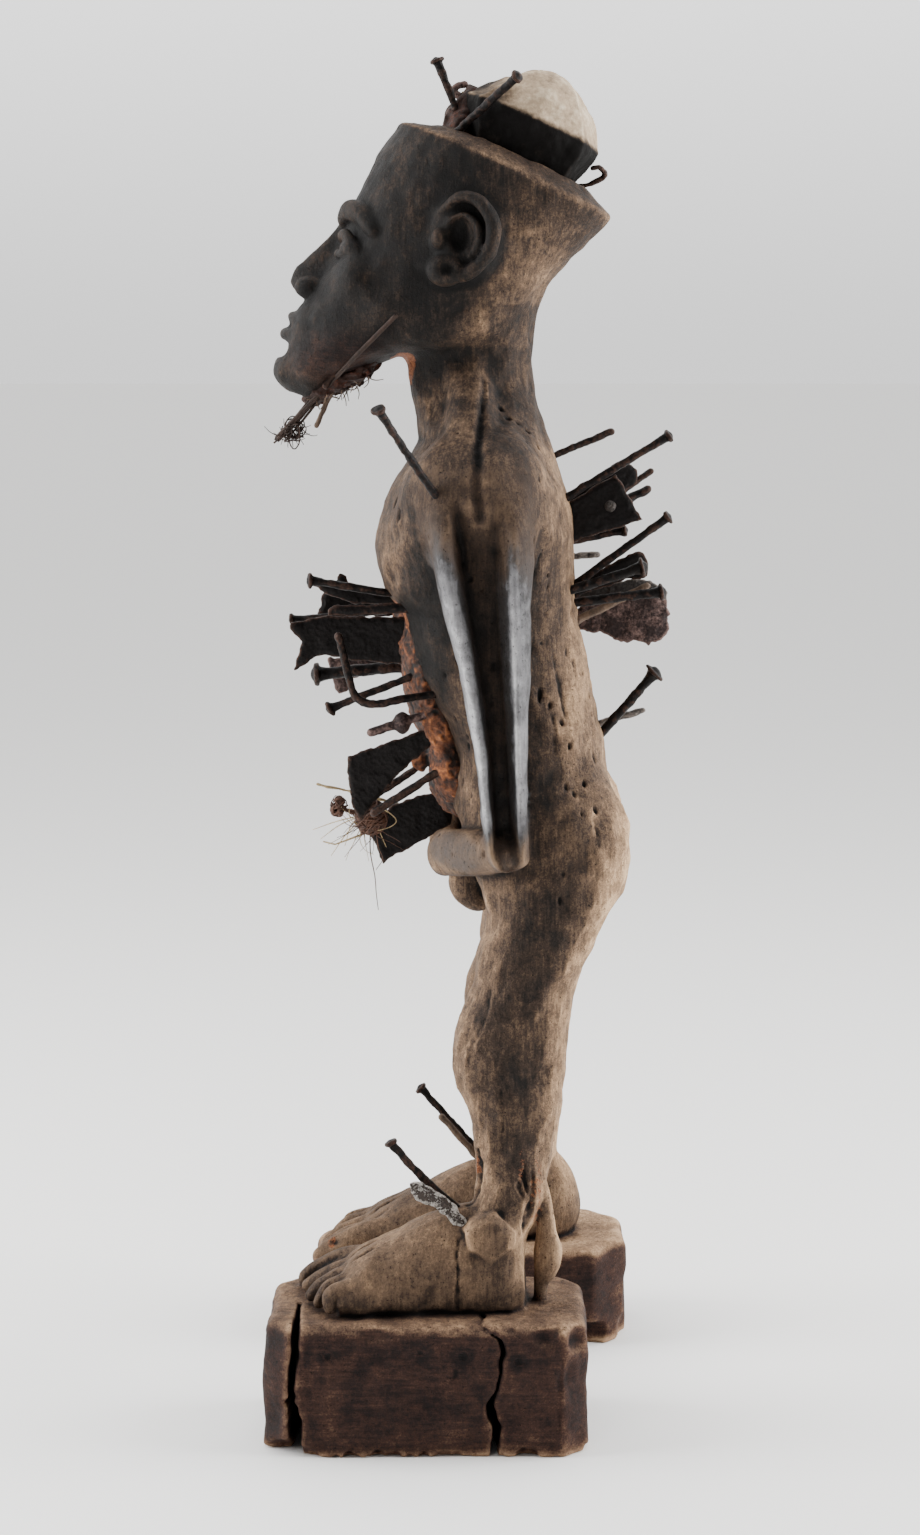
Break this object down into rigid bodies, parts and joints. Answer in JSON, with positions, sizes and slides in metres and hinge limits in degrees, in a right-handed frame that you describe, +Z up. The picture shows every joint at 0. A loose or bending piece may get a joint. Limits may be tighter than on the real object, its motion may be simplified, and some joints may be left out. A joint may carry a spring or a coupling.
{
  "type": "power figure",
  "caption": "Standing carved wooden power figure on two base blocks, with medicine packs on the crown and belly and iron nails, rods and blades driven into back, belly and feet.",
  "frame": {"origin": "on the floor under the middle of the bounding box", "axes": "+Z up the figure, -Y to its front, +X to its left side"},
  "size_m": [0.3246, 0.2917, 0.9716],
  "materials": {
    "carved_wood": "old dark grey-brown wood with worn ridges, pale dust and a semi-matte skin",
    "pale_mass": "matte pale clay and resin mass with a dark stained side",
    "dark_resin": "crumbly dark red-brown resin crust",
    "rusty_mass": "crumbly earth and resin stained orange by rust",
    "fibre": "matted reddish brown plant fibre",
    "straw": "dry pale grass stalk",
    "twig_wood": "dry split twig, matte",
    "black_iron": "forged iron, near black with brown rust",
    "rusted_iron": "sheet iron with pinkish brown rust",
    "grey_iron": "worn grey iron with pale crust"
  },
  "bodies": {
    "root": {"carved_figure": "carved_wood", "head_pack": "pale_mass", "head_resin": "dark_resin", "belly_pack": "rusty_mass", "chin_resin": "dark_resin", "belly_fibre_tuft": "fibre", "crown_nail_front": "black_iron", "crown_nail_slanting": "black_iron", "crown_hooked_blade": "rusted_iron", "crown_bent_hook": "black_iron", "shoulder_nail": "black_iron", "back_rod_top": "black_iron", "back_nail_upper": "black_iron", "back_triangle_blade": "black_iron", "back_strap": "black_iron", "back_pin_a": "black_iron", "back_pin_b": "black_iron", "back_nail_under": "black_iron", "back_short_rod": "grey_iron", "back_nail_middle": "black_iron", "back_nail_heavy": "black_iron", "back_nail_low": "black_iron", "back_peg": "twig_wood", "back_round_blade": "rusted_iron", "back_leaf_blade": "black_iron", "back_hasp": "black_iron", "back_nail_waist": "black_iron", "back_rod_waist": "grey_iron", "belly_nail_top": "black_iron", "belly_blade_top": "black_iron", "belly_round_blade": "black_iron", "belly_flat_bar": "black_iron", "belly_nail_left": "black_iron", "belly_fishtail": "black_iron", "belly_thick_nail": "black_iron", "belly_hanging_blade": "rusted_iron", "belly_nail_low": "black_iron", "belly_bent_hook": "black_iron", "belly_screw_peg": "rusted_iron", "belly_square_blade_upper": "black_iron", "belly_square_blade_lower": "black_iron", "belly_rod_left": "black_iron", "belly_rod_right": "black_iron", "belly_straw": "straw", "instep_nail_left": "black_iron", "instep_blade_left": "grey_iron", "instep_nail_right": "black_iron", "instep_peg_right": "twig_wood", "chin_rod": "black_iron", "chin_twigs": "twig_wood", "chin_peg": "twig_wood"}
  },
  "joints": []
}
